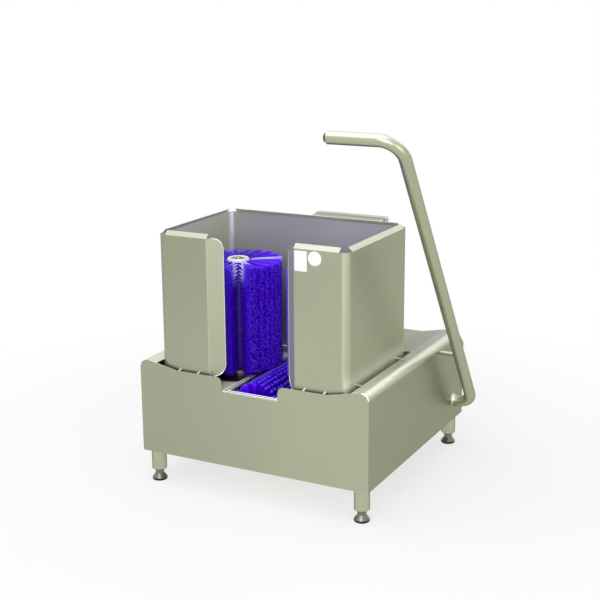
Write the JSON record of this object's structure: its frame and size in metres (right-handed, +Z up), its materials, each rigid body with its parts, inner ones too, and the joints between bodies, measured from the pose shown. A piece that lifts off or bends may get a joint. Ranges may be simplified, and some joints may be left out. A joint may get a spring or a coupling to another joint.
{
  "type": "boot washer",
  "caption": "Walk-up boot washer: steel base with step-in notch, open-fronted brush shroud, upright and lying blue brushes, leaning tube handle with a push button.",
  "frame": {"origin": "middle of the whole footprint, handle included, on the floor", "axes": "+Z up, -Y towards the person at the boot opening, +X towards the handle side"},
  "size_m": [0.7768, 0.7, 1.0228],
  "materials": {
    "satin_steel": "satin stainless sheet and tube",
    "machined_steel": "turned stainless",
    "bearing_housing": "cast housing",
    "blue_bristle": "nylon filament",
    "blue_core": "moulded core",
    "white_plastic": "smooth cap",
    "black_plastic": "moulded black",
    "belt_rubber": "matt",
    "motor_paint": "grey enamel",
    "brass": "plain brass"
  },
  "bodies": {
    "washer": {"front_panel": "satin_steel", "rear_panel": "satin_steel", "left_side_panel": "satin_steel", "right_side_panel": "satin_steel", "rear_deck": "satin_steel", "bulkhead": "satin_steel", "bottom_plate": "satin_steel", "sump_pan": "satin_steel", "drain_outlet": "satin_steel", "floor_plate": "satin_steel", "slot_rim": "satin_steel", "shroud": "satin_steel", "shroud_tabs": "satin_steel", "corner_plates": "satin_steel", "legs": "satin_steel", "handle_tube": "satin_steel", "handle_stay": "satin_steel", "control_box": "satin_steel", "control_box_lid": "satin_steel", "motor_bracket": "satin_steel", "spray_pipe": "satin_steel", "left_gear_housing": "satin_steel", "right_gear_housing": "satin_steel", "hex_screws": "machined_steel", "leg_plugs": "machined_steel", "brush_bearings": "bearing_housing", "cross_shaft_bearings": "bearing_housing", "roller_bearings": "bearing_housing", "button_guide": "black_plastic", "button_switch": "black_plastic", "relay_block": "black_plastic", "cable_gland": "black_plastic", "cable_conduit": "black_plastic", "left_belt": "belt_rubber", "right_belt": "belt_rubber", "motor": "motor_paint", "gearbox": "motor_paint", "water_inlet": "brass", "water_valve": "brass"},
    "roller": {"roller_core": "blue_core", "roller_bristles": "blue_bristle", "roller_shaft": "machined_steel", "roller_pulleys": "machined_steel", "shaft_coupling": "machined_steel"},
    "left_brush": {"left_brush_core": "blue_core", "left_brush_bristles": "blue_bristle", "left_brush_cap": "white_plastic", "left_brush_shaft": "machined_steel"},
    "right_brush": {"right_brush_core": "blue_core", "right_brush_bristles": "blue_bristle", "right_brush_cap": "white_plastic", "right_brush_shaft": "machined_steel"},
    "left_drive": {"left_cross_shaft": "machined_steel"},
    "right_drive": {"right_cross_shaft": "machined_steel"},
    "button": {"handle_button": "black_plastic"},
    "front_left_leveller": {"front_left_foot": "machined_steel"},
    "front_right_leveller": {"front_right_foot": "machined_steel"},
    "rear_left_leveller": {"rear_left_foot": "machined_steel"},
    "rear_right_leveller": {"rear_right_foot": "machined_steel"}
  },
  "joints": [
    {"name": "roller_spin", "type": "hinge", "parent": "washer", "child": "roller", "pos_m": [-0.03843, -0.145, 0.259], "axis": [0, 1, 0], "continuous": true},
    {"name": "left_drive_spin", "type": "hinge", "parent": "washer", "child": "left_drive", "pos_m": [-0.18493, 0, 0.2615], "axis": [0, 1, 0], "continuous": true},
    {"name": "right_drive_spin", "type": "hinge", "parent": "washer", "child": "right_drive", "pos_m": [0.10808, 0, 0.2615], "axis": [0, 1, 0], "continuous": true},
    {"name": "left_brush_spin", "type": "hinge", "parent": "washer", "child": "left_brush", "pos_m": [-0.18493, -0.145, 0.31], "axis": [0, 0, 1], "continuous": true},
    {"name": "right_brush_spin", "type": "hinge", "parent": "washer", "child": "right_brush", "pos_m": [0.10808, -0.145, 0.31], "axis": [0, 0, 1], "continuous": true},
    {"name": "button_press", "type": "slide", "parent": "washer", "child": "button", "axis": [1, 0, 0], "range_m": [0, 0.004], "stiffness_N_per_m": 500, "springref_m": -0.002},
    {"name": "front_left_level", "type": "slide", "parent": "washer", "child": "front_left_leveller", "axis": [0, 0, -1], "range_m": [0, 0.025]},
    {"name": "front_right_level", "type": "slide", "parent": "washer", "child": "front_right_leveller", "axis": [0, 0, -1], "range_m": [0, 0.025]},
    {"name": "rear_left_level", "type": "slide", "parent": "washer", "child": "rear_left_leveller", "axis": [0, 0, -1], "range_m": [0, 0.025]},
    {"name": "rear_right_level", "type": "slide", "parent": "washer", "child": "rear_right_leveller", "axis": [0, 0, -1], "range_m": [0, 0.025]}
  ],
  "couplings": [
    {"joint": "left_drive_spin", "follows": "roller_spin", "ratio": 1},
    {"joint": "right_drive_spin", "follows": "roller_spin", "ratio": 1},
    {"joint": "left_brush_spin", "follows": "roller_spin", "ratio": -1},
    {"joint": "right_brush_spin", "follows": "roller_spin", "ratio": 1}
  ]
}
